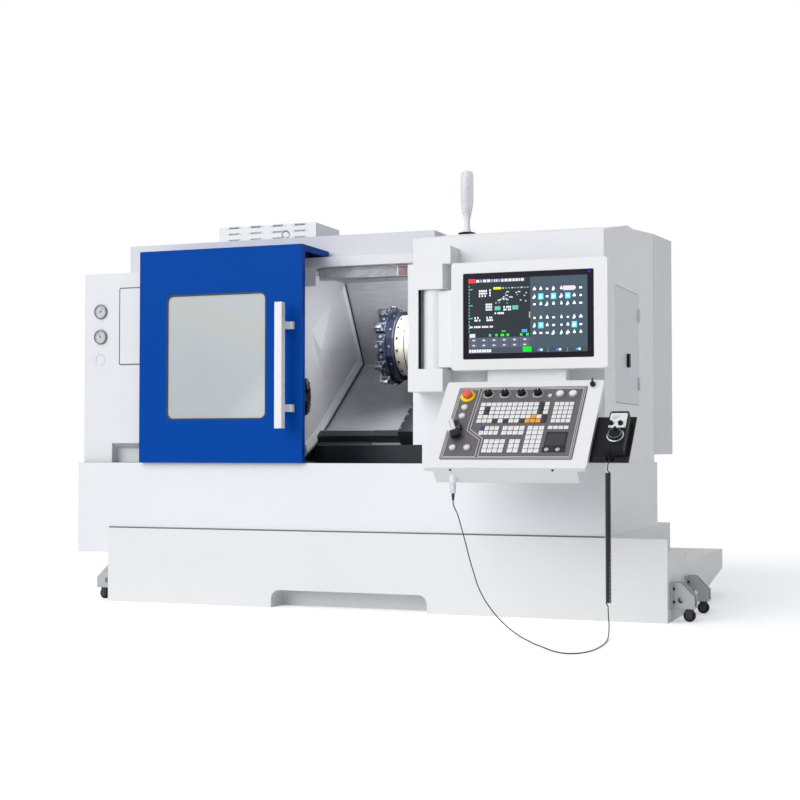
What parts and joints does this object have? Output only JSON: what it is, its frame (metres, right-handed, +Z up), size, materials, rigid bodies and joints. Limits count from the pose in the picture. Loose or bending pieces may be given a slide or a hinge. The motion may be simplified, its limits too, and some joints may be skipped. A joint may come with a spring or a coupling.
{
  "type": "cnc turning lathe",
  "caption": "Enclosed slant-bed turning lathe with a sliding window door, chuck and tool turret in an open chamber, and a swinging operator pendant.",
  "frame": {"origin": "centre of the base's footprint on the floor", "axes": "+X to the operator's right along the spindle axis, +Y to the rear, +Z up"},
  "size_m": [2.965, 2.6183, 2.053],
  "materials": {
    "white_paint": "satin powder coat",
    "base_paint": "satin powder coat",
    "lug_paint": "satin powder coat",
    "cover_paint": "satin powder coat",
    "panel_grey": "satin powder coat",
    "door_blue": "gloss powder coat",
    "chamber_light": "satin paint",
    "chamber_grey": "brushed sheet",
    "tray_navy": "dark paint",
    "cast_iron": "machined casting",
    "headstock_blue": "painted casting",
    "motor_grey": "painted casting",
    "saddle_dark": "dark painted casting",
    "turret_cream": "cream painted casting",
    "turret_navy": "blackened steel",
    "tool_steel": "blackened steel",
    "bright_steel": "ground steel",
    "jaw_steel": "hardened steel",
    "light_alu": "anodised",
    "gauge_metal": "bright",
    "window_pane": "laminated glass",
    "screen_glass": "dark glass",
    "pendant_white": "satin powder coat",
    "overlay_grey": "matt film",
    "estop_red": "gloss",
    "button_white": "gloss",
    "black_plastic": "fine grain",
    "wheel_black": "solid tyre",
    "belt_rubber": "ribbed belt",
    "lamp_white": "frosted",
    "handle_white": "gloss paint",
    "cord_black": "sheath",
    "plug_metal": "satin"
  },
  "bodies": {
    "machine": {"base_chassis": "base_paint", "lifting_lugs": "lug_paint", "slant_bed": "cast_iron", "lower_casing": "white_paint", "headstock_cover": "cover_paint", "access_panel": "cover_paint", "pressure_gauges": "gauge_metal", "main_hood": "panel_grey", "vent_box": "white_paint", "right_cover": "white_paint", "electrical_cabinet": "panel_grey", "door_beam": "white_paint", "work_light": "light_alu", "chuck_wall": "chamber_light", "chamber_back": "chamber_grey", "chip_tray": "tray_navy", "headstock": "headstock_blue", "spindle_motor": "motor_grey", "drive_belt": "belt_rubber", "signal_lamp": "lamp_white", "pendant_bracket": "pendant_white"},
    "door": {"door_panel": "door_blue", "door_window": "window_pane", "door_handle": "handle_white"},
    "service_door": {"service_door": "panel_grey"},
    "service_latch": {"service_latch": "black_plastic"},
    "spindle": {"spindle": "bright_steel", "chuck_body": "bright_steel"},
    "jaw_1": {"chuck_jaw_1": "jaw_steel"},
    "jaw_2": {"chuck_jaw_2": "jaw_steel"},
    "jaw_3": {"chuck_jaw_3": "jaw_steel"},
    "motor_pulley": {"motor_pulley": "cast_iron"},
    "carriage": {"saddle": "saddle_dark"},
    "cross_slide": {"turret_housing": "turret_cream"},
    "turret": {"turret_disc": "turret_navy", "tool_holders": "tool_steel"},
    "pendant": {"pendant_arm": "pendant_white", "monitor_housing": "pendant_white", "screen": "screen_glass", "keyboard_housing": "pendant_white", "key_panel": "overlay_grey", "mpg_holder": "black_plastic", "mpg_handset": "black_plastic", "cable_coil": "cord_black", "cable_lead": "cord_black", "cable_plug": "plug_metal"},
    "estop": {"estop_button": "estop_red"},
    "start": {"start_button": "button_white"},
    "stop": {"stop_button": "button_white"},
    "mpg_dial": {"mpg_dial": "black_plastic"},
    "mpg_axis": {"mpg_axis_knob": "black_plastic"},
    "mpg_step": {"mpg_step_knob": "black_plastic"},
    "wheel_1": {"caster_wheel_1": "wheel_black"},
    "knob_1": {"override_knob_1": "black_plastic"},
    "wheel_2": {"caster_wheel_2": "wheel_black"},
    "knob_2": {"override_knob_2": "black_plastic"},
    "wheel_3": {"caster_wheel_3": "wheel_black"},
    "knob_3": {"override_knob_3": "black_plastic"},
    "wheel_4": {"caster_wheel_4": "wheel_black"},
    "knob_4": {"override_knob_4": "black_plastic"}
  },
  "joints": [
    {"name": "door_slide", "type": "slide", "parent": "machine", "child": "door", "axis": [1, 0, 0], "range_m": [0, 0.525]},
    {"name": "service_door_swing", "type": "hinge", "parent": "machine", "child": "service_door", "pos_m": [1.084, -0.032, 1.19], "axis": [0, 0, 1], "range_deg": [0, 110]},
    {"name": "service_latch_turn", "type": "hinge", "parent": "service_door", "child": "service_latch", "pos_m": [1.08, -0.271, 1.127], "axis": [1, 0, 0], "range_deg": [0, 90]},
    {"name": "spindle_turn", "type": "hinge", "parent": "machine", "child": "spindle", "pos_m": [-0.5, -0.48, 0.975], "axis": [1, 0, 0], "continuous": true},
    {"name": "jaw_1_slide", "type": "slide", "parent": "spindle", "child": "jaw_1", "axis": [0, -1, 0], "range_m": [-0.004, 0.006]},
    {"name": "jaw_2_slide", "type": "slide", "parent": "spindle", "child": "jaw_2", "axis": [0, 0.5, -0.866], "range_m": [-0.004, 0.006]},
    {"name": "jaw_3_slide", "type": "slide", "parent": "spindle", "child": "jaw_3", "axis": [0, 0.5, 0.866], "range_m": [-0.004, 0.006]},
    {"name": "motor_pulley_turn", "type": "hinge", "parent": "machine", "child": "motor_pulley", "pos_m": [-1.1, -0.06, 0.6], "axis": [1, 0, 0], "continuous": true},
    {"name": "carriage_slide", "type": "slide", "parent": "machine", "child": "carriage", "axis": [1, 0, 0], "range_m": [-0.12, 0.4]},
    {"name": "cross_slide_feed", "type": "slide", "parent": "carriage", "child": "cross_slide", "axis": [0, 0.8192, 0.5736], "range_m": [-0.235, 0.06]},
    {"name": "turret_index", "type": "hinge", "parent": "cross_slide", "child": "turret", "pos_m": [-0.1, -0.11138, 1.23311], "axis": [1, 0, 0], "continuous": true},
    {"name": "pendant_swing", "type": "hinge", "parent": "machine", "child": "pendant", "pos_m": [0.345, -0.805, 1.247], "axis": [0, 0, 1], "range_deg": [-90, 0]},
    {"name": "estop_press", "type": "slide", "parent": "pendant", "child": "estop", "axis": [0, 0.7385, -0.6743], "range_m": [0, 0.004]},
    {"name": "start_press", "type": "slide", "parent": "pendant", "child": "start", "axis": [0, 0.7385, -0.6743], "range_m": [0, 0.004], "stiffness_N_per_m": 400},
    {"name": "stop_press", "type": "slide", "parent": "pendant", "child": "stop", "axis": [0, 0.7385, -0.6743], "range_m": [0, 0.004], "stiffness_N_per_m": 400},
    {"name": "knob_1_turn", "type": "hinge", "parent": "pendant", "child": "knob_1", "pos_m": [0.64, -0.96751, 0.95347], "axis": [0, -0.7385, 0.6743], "range_deg": [-135, 135]},
    {"name": "knob_2_turn", "type": "hinge", "parent": "pendant", "child": "knob_2", "pos_m": [0.713, -0.96751, 0.95347], "axis": [0, -0.7385, 0.6743], "range_deg": [-135, 135]},
    {"name": "knob_3_turn", "type": "hinge", "parent": "pendant", "child": "knob_3", "pos_m": [0.785, -0.96751, 0.95347], "axis": [0, -0.7385, 0.6743], "range_deg": [-135, 135]},
    {"name": "knob_4_turn", "type": "hinge", "parent": "pendant", "child": "knob_4", "pos_m": [0.855, -0.96751, 0.95347], "axis": [0, -0.7385, 0.6743], "range_deg": [-135, 135]},
    {"name": "mpg_dial_turn", "type": "hinge", "parent": "pendant", "child": "mpg_dial", "pos_m": [1.222, -1.16129, 0.77833], "axis": [0, -0.7385, 0.6743], "continuous": true},
    {"name": "mpg_axis_turn", "type": "hinge", "parent": "pendant", "child": "mpg_axis", "pos_m": [1.195, -1.12028, 0.8262], "axis": [0, -0.7385, 0.6743], "range_deg": [-75, 75]},
    {"name": "mpg_step_turn", "type": "hinge", "parent": "pendant", "child": "mpg_step", "pos_m": [1.234, -1.12028, 0.8262], "axis": [0, -0.7385, 0.6743], "range_deg": [-60, 60]},
    {"name": "wheel_1_roll", "type": "hinge", "parent": "machine", "child": "wheel_1", "pos_m": [-1.419, -0.64, 0.026], "axis": [0, 1, 0], "continuous": true},
    {"name": "wheel_2_roll", "type": "hinge", "parent": "machine", "child": "wheel_2", "pos_m": [-1.419, -0.29, 0.026], "axis": [0, 1, 0], "continuous": true},
    {"name": "wheel_3_roll", "type": "hinge", "parent": "machine", "child": "wheel_3", "pos_m": [1.419, -0.64, 0.026], "axis": [0, 1, 0], "continuous": true},
    {"name": "wheel_4_roll", "type": "hinge", "parent": "machine", "child": "wheel_4", "pos_m": [1.419, -0.29, 0.026], "axis": [0, 1, 0], "continuous": true}
  ],
  "couplings": [
    {"joint": "jaw_2_slide", "follows": "jaw_1_slide", "ratio": 1},
    {"joint": "jaw_3_slide", "follows": "jaw_1_slide", "ratio": 1},
    {"joint": "motor_pulley_turn", "follows": "spindle_turn", "ratio": 1.6}
  ]
}
